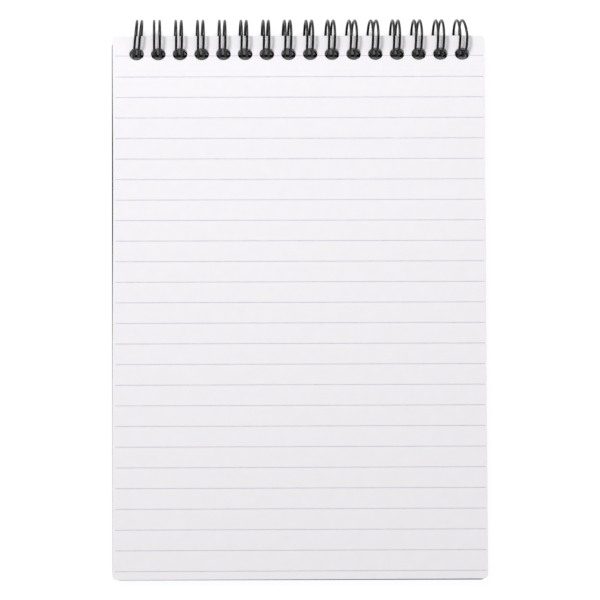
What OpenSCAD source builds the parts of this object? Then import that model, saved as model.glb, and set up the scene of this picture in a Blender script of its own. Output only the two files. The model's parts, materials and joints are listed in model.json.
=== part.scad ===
// Reporter notebook: a head-bound pad of ruled sheets held by a closed twin-loop wire,
// with a stiff back board and the front cover folded right round behind it.
// X runs along the binding, +Y points to the head, +Z is up. The origin is under the
// middle of the pad, at the level of the loops' lowest point.

/* [Sheets] */
// Width of a sheet, along the binding
page_w = 145.4; // [110:0.2:180]
// Height of a sheet, from foot to head
page_h = 211.2; // [150:0.2:260]
// Thickness of the block of sheets
block_t = 5.6; // [3:0.1:7]
// Radius of the sheets' corners
page_corner_r = 1.8; // [1:0.1:4]

/* [Punching] */
// Width of a punched hole, along the binding
hole_w = 5.8; // [5.2:0.1:6.2]
// Height of a punched hole
hole_h = 4.8; // [4.2:0.1:5]
// From the head edge to the middle of the holes
hole_inset = 7.1; // [5.5:0.1:9]
// Least paper between an end hole and the side edge
hole_margin = 5.5; // [4:0.1:9]

/* [Ruling] */
// From the head edge to the first printed rule
rule_first = 8; // [6:0.1:20]
// From one rule to the next
rule_pitch = 8; // [6:0.5:12]
// Least paper between the last rule and the foot
rule_foot = 3.2; // [2:0.1:10]
// From the side edge to the end of a rule
rule_side = 0.9; // [0.4:0.1:6]
// Width of a printed rule
rule_w = 0.3; // [0.15:0.05:0.6]
// Depth of the print in the paper
rule_depth = 0.05; // [0.02:0.01:0.1]
// From the head edge to the tear-off line
tear_inset = 13.7; // [12:0.1:15]
// Width of the tear-off line
tear_w = 0.2; // [0.1:0.05:0.4]

/* [Covers] */
// Thickness of the stiff back board
board_t = 0.8; // [0.5:0.05:1.2]
// Thickness of the front cover
cover_t = 0.4; // [0.3:0.05:0.6]
// How far the covers stand past the sheets at each side
cover_side = 0.5; // [0:0.1:2]
// How far the back board stands past the sheets at the foot
board_foot = 0.5; // [0:0.1:2]
// How far the front cover stands past the sheets at the foot
cover_foot = 0.8; // [0:0.1:3]
// Radius of the covers' corners
cover_corner_r = 3; // [2:0.1:6]
// Free space between the back board and the cover folded behind it
cover_slip = 0.1; // [0.08:0.01:0.3]
// From the head edge to the pressed crease of the front cover
crease_inset = 17; // [14:0.5:30]
// Depth of the crease
crease_depth = 0.12; // [0.05:0.01:0.15]

/* [Wire] */
// Diameter of the coated wire
wire_d = 0.9; // [0.7:0.05:1.1]
// From the first loop to the next, three to the inch
loop_pitch = 8.467; // [8:0.01:12]
// Distance between the two wires of one loop
loop_gap = 2.2; // [1.9:0.05:2.6]
// Radius of the bends at the foot of each loop
bend_r = 1.6; // [1.2:0.05:1.8]
// Height of the loops' middle line above the top sheet
room_above = 3.9; // [2.5:0.1:6]
// Height of the front cover above the loops' middle line
room_below = 2.1; // [1.5:0.1:4]
// How far the loops' back reaches past the middle of the holes
seat = 0.5; // [0.3:0.05:1]
// Clearance between the closed tips and the spine of the wire
tip_gap = 0.3; // [0.15:0.05:0.6]
// Clearance of the spine from the sheets above and the board below it
spine_slip = 0.1; // [0.05:0.05:0.3]

/* [Hidden] */
paper = [0.93, 0.93, 0.95];
print_grey = [0.78, 0.77, 0.82];
wire_black = [0.06, 0.06, 0.06];
board_grey = [0.16, 0.17, 0.18];
cover_teal = [0.12, 0.26, 0.29];
wire_fn = 16;
arc_fn = 72;
round_fn = 48;
// Extra height that carries a cut through a face
through = 1;
// The two arcs of a wire share this much of their turn, in degrees
shared = 10;
// The two halves of a spine link run this far past their middle
spine_lap = 0.2;

// The stack, measured down from the top sheet
spine_space = wire_d + 2 * spine_slip;
stack = block_t + spine_space + board_t + cover_slip + cover_t;
loop_r = (room_above + stack + room_below) / 2;

// The middle of the loops, which is the hinge line of both covers
loop_out = 2 * loop_r - hole_inset - seat;
front_edge = -page_h - cover_foot;
head_y = -(front_edge + loop_out + wire_d / 2) / 2;
loop_y = head_y + loop_out - loop_r;
loop_z = loop_r + wire_d / 2;

// Heights of the layers
top_z = loop_z + loop_r - room_above;
block_z = top_z - block_t;
board_z = block_z - spine_space - board_t;
cover_z = board_z - cover_slip - cover_t;

// As many loops and rules as the sheet has room for
loop_count = 1 + floor((page_w - hole_w - 2 * hole_margin) / loop_pitch);
first_loop = -(loop_count - 1) / 2 * loop_pitch;
rule_count = 1 + floor((page_h - rule_first - rule_foot) / rule_pitch);

// Angles around a loop: 0 points away from the sheets, 90 up, 180 into the holes.
// The spine lies between the last sheet and the board, and the tips close on it.
spine_drop = loop_z - (block_z - spine_space / 2);
root_angle = 180 + asin(spine_drop / norm([loop_r, bend_r])) - atan(bend_r / loop_r);
tip_reach = loop_gap / 2 + bend_r;
tip_room = sqrt(pow(tip_reach + wire_d + tip_gap, 2) - pow(tip_reach, 2));
tip_angle = root_angle + tip_room / loop_r * 180 / PI - 360;

// Outline of a sheet or a cover, with its head edge on y = 0
module outline(side, foot, r) {
    width = page_w + 2 * side;
    height = page_h + foot;
    translate([-width / 2 + r, -height]) square([width - 2 * r, height]);
    translate([-width / 2, -height + r]) square([width, height - 2 * r]);
    for (x = [-width / 2 + r, width / 2 - r], y = [-height + r, -r])
        translate([x, y]) circle(r = r, $fn = round_fn);
}

// The row of punched holes, each a short slot with round ends
module punching() {
    end = (hole_w - hole_h) / 2;
    for (k = [0 : loop_count - 1])
        translate([first_loop + k * loop_pitch, -hole_inset]) {
            for (s = [-end, end]) translate([s, 0]) circle(d = hole_h, $fn = round_fn);
            square([2 * end, hole_h], center = true);
        }
}

// A punched plate of even thickness, its underside at height z
module punched(z, thickness, side, foot, r) {
    translate([0, head_y, z]) linear_extrude(thickness) difference() {
        outline(side, foot, r);
        punching();
    }
}

// The printed rules as a thin layer let into the top sheet, broken by the holes
module rules() {
    translate([0, head_y, top_z - rule_depth]) linear_extrude(rule_depth) difference() {
        for (k = [0 : rule_count - 1])
            translate([0, -rule_first - k * rule_pitch])
                square([page_w - 2 * rule_side, rule_w], center = true);
        punching();
    }
}

// The fine cut line along which a sheet tears off below the holes
module tear_line() {
    translate([-page_w / 2 - through, head_y - tear_inset - tear_w / 2, top_z - rule_depth])
        cube([page_w + 2 * through, tear_w, rule_depth + through]);
}

module page_block() {
    color(paper) difference() {
        punched(block_z, block_t, 0, 0, page_corner_r);
        rules();
        tear_line();
    }
}

module ruled_lines() {
    color(print_grey) rules();
}

module back_board() {
    color(board_grey) punched(board_z, board_t, cover_side, board_foot, cover_corner_r);
}

// The folded cover has a pressed V-shaped crease across its lower face
module front_cover() {
    crease = crease_depth * sqrt(2);
    width = page_w + 2 * (cover_side + through);
    color(cover_teal) difference() {
        punched(cover_z, cover_t, cover_side, cover_foot, cover_corner_r);
        translate([-width / 2, head_y - crease_inset, cover_z]) rotate([45, 0, 0])
            translate([0, -crease / 2, -crease / 2]) cube([width, crease, crease]);
    }
}

// Part of a loop: a bent wire in the plane across the binding
module loop_arc(from, sweep) {
    rotate([90, 0, 90]) rotate([0, 0, from])
        rotate_extrude(angle = sweep, $fn = arc_fn) translate([loop_r, 0])
            circle(d = wire_d, $fn = wire_fn);
}

// A bend lying flat on the loops' surface
module flat_bend(radius, from, sweep) {
    rotate([0, 0, from])
        rotate_extrude(angle = sweep, $fn = arc_fn / 2) translate([radius, 0])
            circle(d = wire_d, $fn = wire_fn);
}

// Carries a flat piece to an angle around the loops
module at_angle(angle) {
    rotate([angle + 90, 0, 0]) translate([0, 0, -loop_r]) children();
}

// One wire of a loop, from its foot round to its tip, in two arcs that share a stretch
module loop_wire(x) {
    translate([x, 0, 0]) {
        loop_arc(root_angle, 90 - root_angle - shared / 2);
        loop_arc(tip_angle, 90 - tip_angle + shared / 2);
    }
}

// Half a loop: one wire and, where it is linked, its half of the spine to the next loop
module half_loop(linked) {
    loop_wire(loop_gap / 2);
    if (linked) at_angle(root_angle) {
        translate([tip_reach, 0, 0]) flat_bend(bend_r, 90, 90);
        translate([tip_reach, bend_r, 0]) rotate([0, 90, 0])
            cylinder(d = wire_d, h = loop_pitch / 2 - tip_reach + spine_lap, $fn = wire_fn);
    }
}

// A twin loop is two such halves joined by a tight turn at the tip
module twin_loop(linked_before, linked_after) {
    half_loop(linked_after);
    mirror([1, 0, 0]) half_loop(linked_before);
    at_angle(tip_angle) flat_bend(loop_gap / 2, 180, 180);
}

module twin_loop_wire() {
    color(wire_black) translate([first_loop, loop_y, loop_z])
        for (k = [0 : loop_count - 1])
            translate([k * loop_pitch, 0, 0]) twin_loop(k > 0, k < loop_count - 1);
}

page_block();
ruled_lines();
twin_loop_wire();
back_board();
front_cover();
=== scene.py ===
"""A reporter notebook seen from straight above: seventy ruled sheets, punched along the head and
held by a black twin-loop wire, with a stiff back board and the front cover folded round behind it."""
import json
import math

import bpy
import numpy as np
from mathutils.geometry import tessellate_polygon
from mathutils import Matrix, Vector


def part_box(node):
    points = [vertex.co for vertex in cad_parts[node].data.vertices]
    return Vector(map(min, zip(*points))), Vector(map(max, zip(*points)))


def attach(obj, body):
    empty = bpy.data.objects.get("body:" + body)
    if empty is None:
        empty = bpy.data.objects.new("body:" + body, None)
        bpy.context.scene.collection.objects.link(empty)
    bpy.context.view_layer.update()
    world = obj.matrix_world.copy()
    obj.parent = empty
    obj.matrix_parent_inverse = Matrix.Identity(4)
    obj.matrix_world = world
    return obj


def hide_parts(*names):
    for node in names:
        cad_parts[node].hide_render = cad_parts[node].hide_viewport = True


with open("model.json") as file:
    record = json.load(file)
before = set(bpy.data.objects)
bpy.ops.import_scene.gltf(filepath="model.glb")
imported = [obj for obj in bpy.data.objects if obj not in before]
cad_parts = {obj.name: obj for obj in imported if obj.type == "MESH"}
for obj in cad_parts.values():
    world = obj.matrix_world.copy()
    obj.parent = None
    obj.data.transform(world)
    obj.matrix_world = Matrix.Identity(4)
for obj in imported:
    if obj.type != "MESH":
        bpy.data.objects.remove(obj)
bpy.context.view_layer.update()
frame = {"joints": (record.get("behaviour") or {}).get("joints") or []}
mm = 0.001


# The camera
# The photograph looks straight down from about 0.8 m, two degrees off the vertical, with the foot
# of the pad nearer. The place and turns come from the sheets' corners, the holes and the ruling.
camera_at = (-6.1 * mm, -31.0 * mm, 812.8 * mm)
camera_turn = (2.174, -0.442, -0.187)
# Half the picture's width over the focal length, both in pixels
half_view = math.atan(300 / 2067.6)

lens = bpy.data.cameras.new("camera")
lens.sensor_width = 36.0
lens.lens = lens.sensor_width / 2 / math.tan(half_view)
lens.clip_start = 0.01
lens.clip_end = 20.0
camera = bpy.data.objects.new("camera", lens)
camera.location = camera_at
camera.rotation_euler = [math.radians(a) for a in camera_turn]
bpy.context.collection.objects.link(camera)
bpy.context.scene.camera = camera


# The sheets
# Seventy leaves of smooth uncoated writing paper, 80 grams a square metre, cut and punched as one
# block. They are loose on the wire, so each lies a few hundredths of a millimetre off its neighbours,
# and below the wire's spine they come down to lie on the board. The trimmed sides are a little hollow
# in their upper half, the foot is lower at the left, and the punching stands a touch to the right.
pad_low, pad_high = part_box("page_block")
head = pad_high.y
foot = pad_low.y
half_width = pad_high.x
sheet_corner = 1.8 * mm
hole_width = 5.8 * mm
hole_height = 4.8 * mm
hole_inset = 7.1 * mm
hole_slip = 0.28 * mm
loop_pitch = 8.467 * mm
loop_count = 16
band = 14 * mm
spine_room = 1.05 * mm
sag_end = 62 * mm
sheet_count = 70
sheet_drift = 0.02 * mm
# The air above and below each sheet, as a share of its thickness
air_share = 0.05
# Each hollow: its depth, how far below the head edge its middle is, and its spread
hollow_left = (0.31 * mm, 55 * mm, 50 * mm)
hollow_right = (0.2 * mm, 80 * mm, 100 * mm)
hollow_edge = 3 * mm
foot_slant = 0.09 * mm
page_white = "#f5f3f6"
page_cool = "#f0eef2"
# Painted shade for the cuts of the tear-off line
cut_shade_grey = "#8d8b92"
tear_inset = 13.7 * mm
corner_points = 9
hole_points = 26

loops_x = (np.arange(loop_count) - (loop_count - 1) / 2) * loop_pitch


def linear(text, alpha=1.0):
    """Linear colour of an sRGB hex value: c / 12.92 below 0.04045, else ((c + 0.055) / 1.055) ^ 2.4."""
    c = np.array([int(text[i : i + 2], 16) for i in (1, 3, 5)]) / 255
    low, high = c / 12.92, ((c + 0.055) / 1.055) ** 2.4
    return (*np.where(c <= 0.04045, low, high).tolist(), alpha)


def leaf(half_w, top, bottom, corner, rows, grow=0.0, slip=0.0, room=0.0):
    """Outline of a punched leaf in plan, with its holes and the triangles that fill it.
    The sides stand at half_w - corner + sqrt(corner^2 - d^2), where d is how far a row reaches
    into a foot corner, and the head corners are quarter circles. A hole is the ellipse
    (width / 2 cos t, height / 2 sin t). grow moves every edge outwards, slip is how far the
    punching stands to the right, and room is what its holes are wider all round. t starts at 0.1,
    so that no edge of a hole lies in line with the next.
    Returns the points, the rim loops as index arrays, and the triangles."""
    half_w, top, bottom, corner = half_w + grow, top + grow, bottom - grow, corner + grow
    turn = np.radians(np.linspace(0, 90, corner_points))
    foot_rows = bottom + corner - corner * np.sin(turn)
    y = np.concatenate([[top - band], top - np.asarray(rows), foot_rows])
    reach = np.clip(bottom + corner - y, 0, corner)
    x = half_w - corner + np.sqrt(np.maximum(corner**2 - reach**2, 0))
    arc = np.stack([half_w - corner + corner * np.cos(turn), top - corner + corner * np.sin(turn)], 1)
    flip = np.array([-1, 1])
    left = np.stack([-x, y], 1)
    rim = np.concatenate([left[::-1], arc * flip, arc[::-1], left * flip])
    t = np.linspace(0, 2 * math.pi, hole_points, endpoint=False) + 0.1
    half_x, half_y = hole_width / 2 - grow + room, hole_height / 2 - grow + room
    hole = np.stack([half_x * np.cos(t), half_y * np.sin(t)], 1)
    middles = np.stack([loops_x + slip, np.full(loop_count, head - hole_inset)], 1)
    holes = hole + middles[:, None]
    points = np.concatenate([rim, holes.reshape(-1, 2)])
    n, m = len(y), len(arc)
    hole_loops = len(rim) + np.arange(loop_count * len(hole)).reshape(loop_count, -1)
    band_loop = np.arange(n - 1, n + 2 * m + 1)
    loops = [band_loop, *hole_loops]
    order = np.concatenate(loops)
    fill = tessellate_polygon([[(*p, 0.0) for p in points[i]] for i in loops])
    fill = order[np.array(fill)]
    a = np.arange(n - 1)
    right = n + 2 * m
    quads = np.stack([n - 1 - a, right + a, right + a + 1, n - 2 - a], 1)
    triangles = np.concatenate([fill, quads[:, [0, 3, 2]], quads[:, [0, 2, 1]]])
    e1, e2 = (points[triangles[:, i]] - points[triangles[:, 0]] for i in (1, 2))
    down = e1[:, 0] * e2[:, 1] - e1[:, 1] * e2[:, 0] < 0
    triangles[down] = triangles[down][:, ::-1]
    return points, [np.arange(len(rim)), *hole_loops], triangles


def stacked(levels, loops, triangles):
    """Closed shells from levels of the same outline: levels is shells x levels x points x 3.
    Each shell is capped below and above, and every rim loop is walled from level to level."""
    shells, rows, count, _ = levels.shape
    walls = []
    for loop in loops:
        a, b = loop, np.roll(loop, -1)
        for r in range(rows - 1):
            low, high = r * count, (r + 1) * count
            walls.append(np.stack([a + low, a + high, b + high], 1))
            walls.append(np.stack([a + low, b + high, b + low], 1))
    caps = [triangles[:, ::-1], triangles + (rows - 1) * count]
    faces = np.concatenate([*caps, *walls])
    faces = faces[None] + (np.arange(shells) * rows * count)[:, None, None]
    return levels.reshape(-1, 3), faces.reshape(-1, 3)


def shape(name, points, *faces, smooth=False):
    """A new object whose mesh holds the points and the arrays of faces, which point outwards."""
    mesh = bpy.data.meshes.new(name)
    mesh.from_pydata(points.tolist(), [], [face for block in faces for face in block.tolist()])
    mesh.polygons.foreach_set("use_smooth", np.full(len(mesh.polygons), smooth))
    mesh.update()
    made = bpy.data.objects.new(name, mesh)
    bpy.context.collection.objects.link(made)
    return made


def new_material(name):
    """An empty material: returns it, its node tree, its Principled shader and its object coordinates."""
    made = bpy.data.materials.new(name)
    made.use_nodes = True
    tree = made.node_tree
    tree.nodes.clear()
    shader = tree.nodes.new("ShaderNodeBsdfPrincipled")
    out = tree.nodes.new("ShaderNodeOutputMaterial")
    tree.links.new(shader.outputs["BSDF"], out.inputs["Surface"])
    place = tree.nodes.new("ShaderNodeTexCoord").outputs["Object"]
    return made, tree, shader, place


def add(tree, kind, sockets=(), **settings):
    """Adds a node. settings are its attributes; sockets give an input a value or a link."""
    made = tree.nodes.new(kind)
    for name, value in settings.items():
        setattr(made, name, value)
    for name, value in dict(sockets).items():
        if isinstance(value, bpy.types.NodeSocket):
            tree.links.new(value, made.inputs[name])
        else:
            made.inputs[name].default_value = value
    return made


def sag(y):
    """How far a sheet comes down at y: spine_room * (3 t^2 - 2 t^3), t from the band to sag_end."""
    t = np.clip((head - band - y) / (sag_end - band), 0, 1)
    return spine_room * t * t * (3 - 2 * t)


random = np.random.default_rng(11)
bend_rows = np.concatenate([np.linspace(band, sag_end, 14)[1:], np.arange(75, 190, 15) * mm])
plan, rims, fill = leaf(half_width, head, foot, sheet_corner, bend_rows, slip=hole_slip)
# The foot edge comes down by foot_slant at the left and by nothing at the right. A hollow side stands
# depth exp(-((d - at) / spread)^2) further in at d below the head edge.
down = head - plan[:, 1]
plan[:, 1] -= foot_slant * (0.5 - plan[:, 0] / half_width / 2) * down / (head - foot)
for side, (depth, at, spread) in ((-1, hollow_left), (1, hollow_right)):
    near_side = np.clip(1 - (half_width - side * plan[:, 0]) / hollow_edge, 0, 1)
    plan[:, 0] -= side * depth * near_side * np.exp(-(((down - at) / spread) ** 2))
sheet_t = (pad_high.z - pad_low.z) / sheet_count
drift = np.clip(random.normal(0, sheet_drift, (sheet_count, 2)), -2 * sheet_drift, 2 * sheet_drift)
drift[-1] = 0
sheets_at = np.zeros((sheet_count, 2, len(plan), 3))
sheets_at[..., :2] = plan + drift[:, None, None]
base = pad_low.z + np.arange(sheet_count) * sheet_t
sheets_at[:, 0, :, 2] = base[:, None] + air_share * sheet_t
sheets_at[:, 1, :, 2] = base[:, None] + (1 - air_share) * sheet_t
sheets_at[..., 2] -= sag(sheets_at[..., 1])
sheets = shape("sheets", *stacked(sheets_at, rims, fill))

# Uncoated offset paper: a matt, faintly mottled white, with fibres too fine to see one by one. The
# fibre relief is drawn at 0.35 mm and the cloudy formation at 5 mm, coarse enough to show.
paper, tree, shader, place = new_material("uncoated_paper")
cloud = add(tree, "ShaderNodeTexNoise", {"Vector": place, "Scale": 1 / (5 * mm), "Detail": 3.0})
tone = add(tree, "ShaderNodeMix", {"Factor": cloud.outputs["Fac"]}, data_type="RGBA")
tone.inputs[6].default_value = linear(page_white)
tone.inputs[7].default_value = linear(page_cool)
# The tear-off line is a row of fine cuts, 0.16 mm wide and 0.8 mm apart, drawn as painted shade:
# the paper turns 8 % grey where the shade in the cuts would be
part = add(tree, "ShaderNodeSeparateXYZ", {"Vector": place})
away = add(tree, "ShaderNodeMath", {0: part.outputs["Y"], 1: head - tear_inset}, operation="SUBTRACT")
near = add(tree, "ShaderNodeMath", {0: away.outputs[0], 1: 0.0, 2: 0.08 * mm}, operation="COMPARE")
beat = add(tree, "ShaderNodeMath", {0: part.outputs["X"], 1: 0.8 * mm}, operation="PINGPONG")
cut = add(tree, "ShaderNodeMath", {0: beat.outputs[0], 1: 0.3 * mm}, operation="GREATER_THAN")
both = add(tree, "ShaderNodeMath", {0: near.outputs[0], 1: cut.outputs[0]}, operation="MULTIPLY")
faint = add(tree, "ShaderNodeMath", {0: both.outputs[0], 1: 0.08}, operation="MULTIPLY")
painted_cut_shade = add(tree, "ShaderNodeMix", {"Factor": faint.outputs[0]}, data_type="RGBA")
tree.links.new(tone.outputs[2], painted_cut_shade.inputs[6])
painted_cut_shade.inputs[7].default_value = linear(cut_shade_grey)
tree.links.new(painted_cut_shade.outputs[2], shader.inputs["Base Color"])
fibre = add(tree, "ShaderNodeTexNoise", {"Vector": place, "Scale": 1 / (0.35 * mm), "Detail": 4.0})
relief = {"Height": fibre.outputs["Fac"], "Strength": 0.12, "Distance": 0.03 * mm}
relief = add(tree, "ShaderNodeBump", relief)
tree.links.new(relief.outputs["Normal"], shader.inputs["Normal"])
shader.inputs["Roughness"].default_value = 0.85
shader.inputs["Specular IOR Level"].default_value = 0.25
sheets.data.materials.append(paper)
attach(sheets, "pad")
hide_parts("page_block")


# The ruling
# Thin grey-violet lines printed by offset on the top sheet, 8 mm apart. Ink spreads a little into
# the paper, so their edges waver by a few hundredths of a millimetre. The first runs between the
# holes, and stands a little nearer to the head.
rule_first = 8 * mm
rule_pitch = 8 * mm
rule_count = 26
rule_width = 0.3 * mm
first_up = 0.22 * mm
rule_left = 1.15 * mm
rule_right = 0.65 * mm
rule_wander = 0.02 * mm
rule_step = 1.5 * mm
ink_height = 0.012 * mm
ink_violet = "#cac7d2"
ink_pale = "#d9d7de"


def strip(x_from, x_to, y):
    """A printed line as a flat closed bar: its edges stand at y +- (width / 2 + a small wander)."""
    count = max(4, int((x_to - x_from) / rule_step))
    x = np.linspace(x_from, x_to, count)
    edge = rule_width / 2 + random.normal(0, rule_wander, (2, count))
    z = pad_high.z - air_share * sheet_t - sag(np.array(y))
    low, high = np.full(count, z - ink_height), np.full(count, z + ink_height)
    ring = [(y - edge[0], low), (y + edge[1], low), (y + edge[1], high), (y - edge[0], high)]
    points = np.stack([np.stack([x, a, b], 1) for a, b in ring], 1)
    i, j = np.meshgrid(np.arange(count - 1), np.arange(4), indexing="ij")
    here, after = i * 4 + j, i * 4 + (j + 1) % 4
    quads = np.stack([here, after, after + 4, here + 4], -1).reshape(-1, 4)
    ends = np.array([[3, 2, 1, 0], [0, 1, 2, 3] + 4 * (count - 1) * np.ones(4, int)])
    return points.reshape(-1, 3), np.concatenate([quads, ends])


spans = []
for k in range(rule_count):
    y = head - rule_first - k * rule_pitch + (first_up if k == 0 else 0)
    edges = [-half_width + rule_left, half_width - rule_right]
    rise = abs(head - hole_inset - y)
    if rise < hole_height / 2:
        gap = hole_width / 2 * math.sqrt(1 - (rise / (hole_height / 2)) ** 2)
        gaps = loops_x[:, None] + hole_slip + [-gap, gap]
        edges = [edges[0], *gaps.ravel(), edges[1]]
    spans += [strip(a, b, y) for a, b in zip(edges[::2], edges[1::2])]
starts = np.cumsum([0, *[len(p) for p, _ in spans]])
rule_points = np.concatenate([p for p, _ in spans])
rule_faces = np.concatenate([f + s for (_, f), s in zip(spans, starts)])
rules = shape("rules", rule_points, rule_faces)

# Offset ink on paper: matt, a little broken where the fibres stand up, drawn at 0.6 mm to show
ink, tree, shader, place = new_material("offset_ink")
broken = add(tree, "ShaderNodeTexNoise", {"Vector": place, "Scale": 1 / (0.6 * mm), "Detail": 2.0})
inked = add(tree, "ShaderNodeMix", {"Factor": broken.outputs["Fac"]}, data_type="RGBA")
inked.inputs[6].default_value = linear(ink_violet)
inked.inputs[7].default_value = linear(ink_pale)
tree.links.new(inked.outputs[2], shader.inputs["Base Color"])
shader.inputs["Roughness"].default_value = 0.8
shader.inputs["Specular IOR Level"].default_value = 0.2
rules.data.materials.append(ink)
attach(rules, "pad")
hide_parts("ruled_lines")


# The wire
# One length of nylon-coated steel wire, 1 mm thick. It is formed into a flat comb of hairpins,
# rolled into loops through the holes, and closed by bringing the tips back onto the spine. The loops
# lean a little to the left below and stand upright above. The first is pinched and leans to the
# right, and the last has its wires spread.
wire_r = 0.5 * mm
loop_gap = 2.2 * mm
bend_r = 1.6 * mm
loops_y, loops_z = frame["joints"][0]["pos_m"][1:]
loop_r = loops_z - 0.45 * mm
root_angle = math.radians(192.26)
tip_angle = math.radians(-144.7)
leg_points = 96
# How far each loop leans to the right at the middle of its height, and how much more at the top
lean = [63, -45, -50, -46, -40, -46, -25, -36, -37, -39, -49, -53, -40, -43, -35, -17]
lean_up = [36, 48, 61, 56, 47, 54, 48, 58, 59, 65, 80, 82, 51, 59, 62, 80]
# Where they stand out past the sheets the first leans more to the right, and the last to the left
lean_out_first = 0.65 * mm
lean_out_last = -0.49 * mm
# The distance between its two wires at the bottom and at the top, and how much closer the last's
# come where they stand out
gap_low = [2.09] * 15 + [2.53]
gap_top = [1.77, 2.24, 2.24, 2.16, 2.2, 2.12, 2.04, 2.24, 2.24, 2.24, 2.28, 2.08, 2.2, 2.28, 2.32, 2.71]
pinch_last = 0.2
# All this fades out towards the spine, which is straight, and the tips, which sit on it
spine_fade = math.radians(60)
tip_fade = math.radians(70)


def hairpin():
    """A hairpin of the unrolled comb with its link to the next, as x and the angle round the loops.
    It goes out along x = -gap/2, turns on a half circle at the tip and comes back along x = +gap/2,
    and two quarter circles and a straight join it to the next. Returns also how many points lie
    before the link."""
    out = np.linspace(root_angle, tip_angle, leg_points)
    turn = np.radians(np.linspace(0, 180, 17))[1:-1]
    quarter = np.radians(np.linspace(0, 90, 9))[1:]
    near = loop_gap / 2 + bend_r
    x_tip = -loop_gap / 2 * np.cos(turn)
    a_tip = tip_angle - loop_gap / 2 * np.sin(turn) / loop_r
    x_bend = near - bend_r * np.cos(quarter)
    a_bend = root_angle + bend_r * np.sin(quarter) / loop_r
    x_link = np.linspace(near, loop_pitch - near, 4)[1:-1]
    a_link = np.full(2, a_bend[-1])
    x_in = loop_pitch - x_bend[::-1]
    x = np.concatenate([0 * out - loop_gap / 2, x_tip, 0 * out + loop_gap / 2, x_bend, x_link, x_in])
    a = np.concatenate([out, a_tip, out[::-1], a_bend, a_link, a_bend[::-1]])
    return x, a, 2 * leg_points + len(turn)


def each_loop(values, unit):
    """A column with one length a loop."""
    return np.array(values)[:, None] * unit


comb_x, comb_a, before_link = hairpin()
angle = np.tile(comb_a, (loop_count, 1))
up = np.sin(angle)
shift = each_loop(lean, 0.01 * mm) + each_loop(lean_up, 0.01 * mm) * up
low, top = each_loop(gap_low, mm), each_loop(gap_top, mm)
spread = (low + (top - low) * (1 + up) / 2) / loop_gap
out = np.clip(np.cos(comb_a), 0, 1)
shift[0] += lean_out_first * np.cos(comb_a)
shift[-1] += lean_out_last * out
spread[-1] *= 1 - pinch_last * out
away = np.clip((root_angle - angle) / spine_fade, 0, 1)
away *= np.clip((angle - tip_angle) / tip_fade, 0, 1)
free = away * away * (3 - 2 * away)
own_x = comb_x * (1 + (spread - 1) * free) + shift * free + loops_x[:, None]
x = own_x.ravel()[: before_link - len(comb_x)]
a = angle.ravel()[: len(x)]
centre = np.stack([x, loops_y + loop_r * np.cos(a), loops_z + loop_r * np.sin(a)], 1)


def tube(path, out, radius, sides):
    """A round wire along a path. At each point the profile is a circle in the plane square to the
    path: p + r (cos t * n + sin t * b), with n the part of out square to the path and b = path x n."""
    along = np.gradient(path, axis=0)
    along /= np.linalg.norm(along, axis=1)[:, None]
    n = out - (out * along).sum(1)[:, None] * along
    n /= np.linalg.norm(n, axis=1)[:, None]
    b = np.cross(along, n)
    t = np.linspace(0, 2 * math.pi, sides, endpoint=False)
    circle = np.cos(t)[None, :, None] * n[:, None] + np.sin(t)[None, :, None] * b[:, None]
    body = path[:, None] + radius * circle
    # Each end is cut off square, with an edge that narrows to end_share of the radius
    tip, end_share = 0.35 * radius, 0.75
    first = path[0] - tip * along[0] + end_share * radius * circle[0]
    last = path[-1] + tip * along[-1] + end_share * radius * circle[-1]
    rings = np.concatenate([first[None], body, last[None]])
    i, j = np.meshgrid(np.arange(len(rings) - 1), np.arange(sides), indexing="ij")
    here, after = i * sides + j, i * sides + (j + 1) % sides
    quads = np.stack([here, after, after + sides, here + sides], -1).reshape(-1, 4)
    ends = np.stack([np.arange(sides)[::-1], (len(rings) - 1) * sides + np.arange(sides)])
    return rings.reshape(-1, 3), quads, ends


radial = np.stack([0 * a, np.cos(a), np.sin(a)], 1)
wire_sides = 14
nylon_black = "#0e0d0e"
wire = shape("twin_loop", *tube(centre, radial, wire_r, wire_sides), smooth=True)

# Black nylon over steel: a thick glossy coat with a soft orange-peel skin, drawn at 0.5 mm
coat, tree, shader, place = new_material("black_nylon_coat")
peel = add(tree, "ShaderNodeTexNoise", {"Vector": place, "Scale": 1 / (0.5 * mm), "Detail": 2.0})
skin = {"Height": peel.outputs["Fac"], "Strength": 0.15, "Distance": 0.03 * mm}
skin = add(tree, "ShaderNodeBump", skin)
tree.links.new(skin.outputs["Normal"], shader.inputs["Normal"])
worn = add(tree, "ShaderNodeMapRange", {"Value": peel.outputs["Fac"], "To Min": 0.2, "To Max": 0.32})
tree.links.new(worn.outputs["Result"], shader.inputs["Roughness"])
shader.inputs["Base Color"].default_value = linear(nylon_black)
shader.inputs["IOR"].default_value = 1.53
wire.data.materials.append(coat)
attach(wire, "pad")
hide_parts("twin_loop_wire")


# The back board
# Greyboard 0.8 mm thick, laminated near black on both faces and punched with the sheets. Its die-cut
# edges are very slightly rounded. It lies a touch to the left of the sheets, more so at the head.
board_low, board_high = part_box("back_board")
cover_corner = 3 * mm
cut_edge = 0.06 * mm
board_black = "#26282a"
board_worn = "#303234"
board_slips = (-0.21 * mm, -0.03 * mm)
# The covers' holes are a little wider than the sheets', to swing on the wire. They stand to the left
# with the loops, the first to the right.
cover_hole_slip = np.array([0.6] + [-0.5] * (loop_count - 1)) * mm
cover_hole_room = 0.37 * mm


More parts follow.
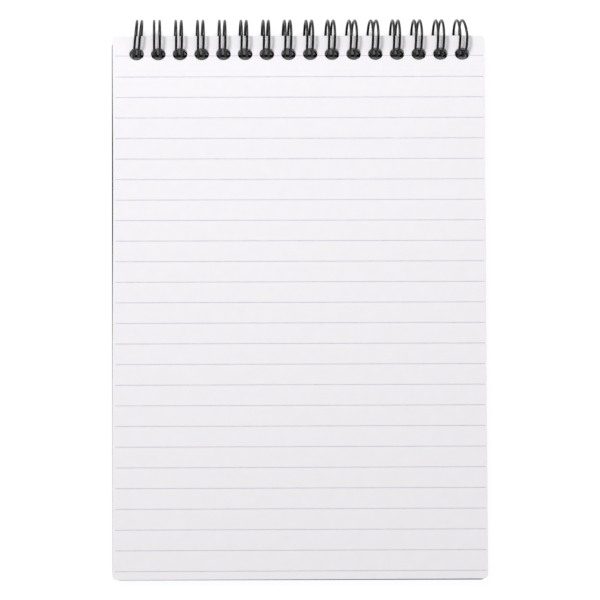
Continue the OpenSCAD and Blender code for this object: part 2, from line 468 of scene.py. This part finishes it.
def cover_plate(low, high, slips, skews, rows, crease=None):
    """A punched plate from its box: four levels with the edges drawn in by cut_edge at both faces.
    With u from 0 at the foot to 1 at the head, it lies slips[1] + (slips[0] - slips[1]) u to the
    right. Its foot edge reaches skews[0] further at the left and skews[1] further at the right.
    Where there is a crease, the lower face rises by depth - |y - crease| there."""
    heights = (low.z, low.z + cut_edge, high.z - cut_edge, high.z)
    levels = []
    for z, grow in zip(heights, (-cut_edge, 0, 0, -cut_edge)):
        outline = (high.x, head, low.y, cover_corner, rows, grow, cover_hole_slip, cover_hole_room)
        flat, loops, triangles = leaf(*outline)
        level = np.column_stack([flat, np.full(len(flat), z)])
        u = np.clip((level[:, 1] - low.y) / (head - low.y), 0, 1)
        right = level[:, 0] / high.x / 2 + 0.5
        level[:, 1] -= (skews[0] + (skews[1] - skews[0]) * right) * (1 - u)
        level[:, 0] += slips[1] + (slips[0] - slips[1]) * u
        if crease and z < low.z + cut_edge / 2:
            level[:, 2] += np.clip(crease[1] - np.abs(head - level[:, 1] - crease[0]), 0, None)
        levels.append(level)
    return stacked(np.stack(levels)[None], loops, triangles)


board = shape("board", *cover_plate(board_low, board_high, board_slips, (0, 0), [60 * mm]))

# Greyboard under a near-black laminate: half matt, with the board's grain pressed through it. The
# grain is drawn at 0.8 mm.
laminate, tree, shader, place = new_material("laminated_greyboard")
grain = add(tree, "ShaderNodeTexNoise", {"Vector": place, "Scale": 1 / (0.8 * mm), "Detail": 5.0})
shade = add(tree, "ShaderNodeMix", {"Factor": grain.outputs["Fac"]}, data_type="RGBA")
shade.inputs[6].default_value = linear(board_black)
shade.inputs[7].default_value = linear(board_worn)
tree.links.new(shade.outputs[2], shader.inputs["Base Color"])
press = {"Height": grain.outputs["Fac"], "Strength": 0.2, "Distance": 0.03 * mm}
press = add(tree, "ShaderNodeBump", press)
tree.links.new(press.outputs["Normal"], shader.inputs["Normal"])
shader.inputs["Roughness"].default_value = 0.5
board.data.materials.append(laminate)
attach(board, "back_board")
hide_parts("back_board")


# The front cover
# Card 0.4 mm thick, printed dark teal and laminated, folded right round behind the board on the
# wire. A crease is pressed across it below the holes, so that it opens flat. It hangs a little askew,
# further out at the right of the foot.
cover_low, cover_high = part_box("front_cover")
crease_at = (17 * mm, 0.12 * mm)
crease_rows = [crease_at[0] - crease_at[1], crease_at[0], crease_at[0] + crease_at[1]]
cover_slips = (-0.05 * mm, 0.05 * mm)
cover_skews = (0.05 * mm, 0.22 * mm)
cover_teal = "#487a91"
cover_pale = "#4f8299"

cover_parts = cover_plate(cover_low, cover_high, cover_slips, cover_skews, crease_rows, crease_at)
cover = shape("cover", *cover_parts)

# Printed card under a thin film: smooth, with a soft sheen and a faint mottle drawn at 1.2 mm
card, tree, shader, place = new_material("laminated_teal_card")
mottle = add(tree, "ShaderNodeTexNoise", {"Vector": place, "Scale": 1 / (1.2 * mm), "Detail": 5.0})
printed = add(tree, "ShaderNodeMix", {"Factor": mottle.outputs["Fac"]}, data_type="RGBA")
printed.inputs[6].default_value = linear(cover_teal)
printed.inputs[7].default_value = linear(cover_pale)
tree.links.new(printed.outputs[2], shader.inputs["Base Color"])
film = {"Height": mottle.outputs["Fac"], "Strength": 0.12, "Distance": 0.03 * mm}
film = add(tree, "ShaderNodeBump", film)
tree.links.new(film.outputs["Normal"], shader.inputs["Normal"])
shader.inputs["Roughness"].default_value = 0.38
cover.data.materials.append(card)
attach(cover, "front_cover")
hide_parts("front_cover")


# The floor
# A pale sheet that the loops and the foot of the front cover rest on. It lies level in front of the
# pad and behind it, and slopes by 0.7 degrees between them. The camera sees it as plain white: most of
# that is a glow that fades where the sky is shut out within glow_reach, as down the holes, and the
# rest is its own pale shade with the shadows.
floor_half = 3.0
hole_grey = 0.1
open_glow = 0.93
glow_reach = 14 * mm
floor_white = "#fbfbfb"
shade_part = "#626262"

line_y = np.repeat([-floor_half, cover_low.y, loops_y, floor_half], 2)
loops_low = loops_z - loop_r - wire_r
line_z = np.repeat([cover_low.z, cover_low.z, loops_low, loops_low], 2)
floor_points = np.stack([np.tile([-floor_half, floor_half], 4), line_y, line_z], 1)
floor = shape("floor", floor_points, np.array([0, 1, 3, 2]) + 2 * np.arange(3)[:, None])
white, tree, shader, _ = new_material("white_paper_floor")
shader.inputs["Roughness"].default_value = 0.9
shader.inputs["Specular IOR Level"].default_value = 0.1
openness = add(tree, "ShaderNodeAmbientOcclusion", {"Distance": glow_reach}, samples=12)
sky_range = {"Value": openness.outputs["AO"], "From Min": 0.12, "From Max": 0.42}
glow = add(tree, "ShaderNodeMapRange", {**sky_range, "To Min": hole_grey, "To Max": open_glow})
seen = add(tree, "ShaderNodeLightPath").outputs
eye = {0: seen["Is Camera Ray"], 1: seen["Is Glossy Ray"]}
eye = add(tree, "ShaderNodeMath", eye, operation="MAXIMUM")
lit = {0: eye.outputs[0], 1: glow.outputs["Result"]}
lit = add(tree, "ShaderNodeMath", lit, operation="MULTIPLY")
tree.links.new(lit.outputs[0], shader.inputs["Emission Strength"])
pale = add(tree, "ShaderNodeMix", {"Factor": eye.outputs[0]}, data_type="RGBA")
pale.inputs[6].default_value = linear(floor_white)
pale.inputs[7].default_value = linear(shade_part)
tree.links.new(pale.outputs[2], shader.inputs["Base Color"])
shader.inputs["Emission Color"].default_value = (1, 1, 1, 1)
floor.data.materials.append(white)


# The light
# A soft lamp from the upper left, a wide weak one behind the head, which makes the page darken
# towards the foot, and an even pale room. In gloss the room is white at the horizon and dark above.
lamps = {
    "softbox": ((-0.84, 0.89, 2.0), 0.56, 20.0),
    "wide_lamp": ((-0.06, 0.5, 0.55), 0.5, 2.2),
}
room_level = 0.405
darkening = 3.0

for name, (spot, width, watts) in lamps.items():
    light = bpy.data.lights.new(name, "AREA")
    light.shape = "DISK"
    light.size = width
    light.energy = watts
    lamp = bpy.data.objects.new(name, light)
    lamp.location = spot
    turn = math.atan2(spot[0], math.hypot(spot[1], spot[2]))
    lamp.rotation_euler = (math.atan2(-spot[1], spot[2]), turn, 0)
    bpy.context.collection.objects.link(lamp)

room = bpy.data.worlds.new("room")
room.use_nodes = True
bpy.context.scene.world = room
tree = room.node_tree
tree.nodes.clear()
ray = add(tree, "ShaderNodeLightPath").outputs
direction = add(tree, "ShaderNodeTexCoord").outputs["Generated"]
height = add(tree, "ShaderNodeSeparateXYZ", {"Vector": direction}).outputs["Z"]
# Seen in gloss the room has the strength (1 - z)^darkening, and in the camera's view 1. On diffuse
# surfaces it has room_level.
below = add(tree, "ShaderNodeMath", {0: 1.0, 1: height}, operation="SUBTRACT", use_clamp=True)
gloss = add(tree, "ShaderNodeMath", {0: below.outputs[0], 1: darkening}, operation="POWER")
seen = add(tree, "ShaderNodeMix", {0: ray["Is Glossy Ray"], 2: 1.0, 3: gloss.outputs[0]})
eye = {0: ray["Is Camera Ray"], 1: ray["Is Glossy Ray"]}
eye = add(tree, "ShaderNodeMath", eye, operation="MAXIMUM")
eye = {0: eye.outputs[0], 1: ray["Is Transmission Ray"]}
eye = add(tree, "ShaderNodeMath", eye, operation="MAXIMUM")
sky = add(tree, "ShaderNodeBackground", {"Color": (1, 1, 1, 1), "Strength": room_level})
plain = add(tree, "ShaderNodeBackground", {"Color": (1, 1, 1, 1), "Strength": seen.outputs[0]})
both = add(tree, "ShaderNodeMixShader", {0: eye.outputs[0]})
tree.links.new(sky.outputs[0], both.inputs[1])
tree.links.new(plain.outputs[0], both.inputs[2])
out = add(tree, "ShaderNodeOutputWorld")
tree.links.new(both.outputs[0], out.inputs["Surface"])
bpy.context.scene.view_settings.view_transform = "Standard"
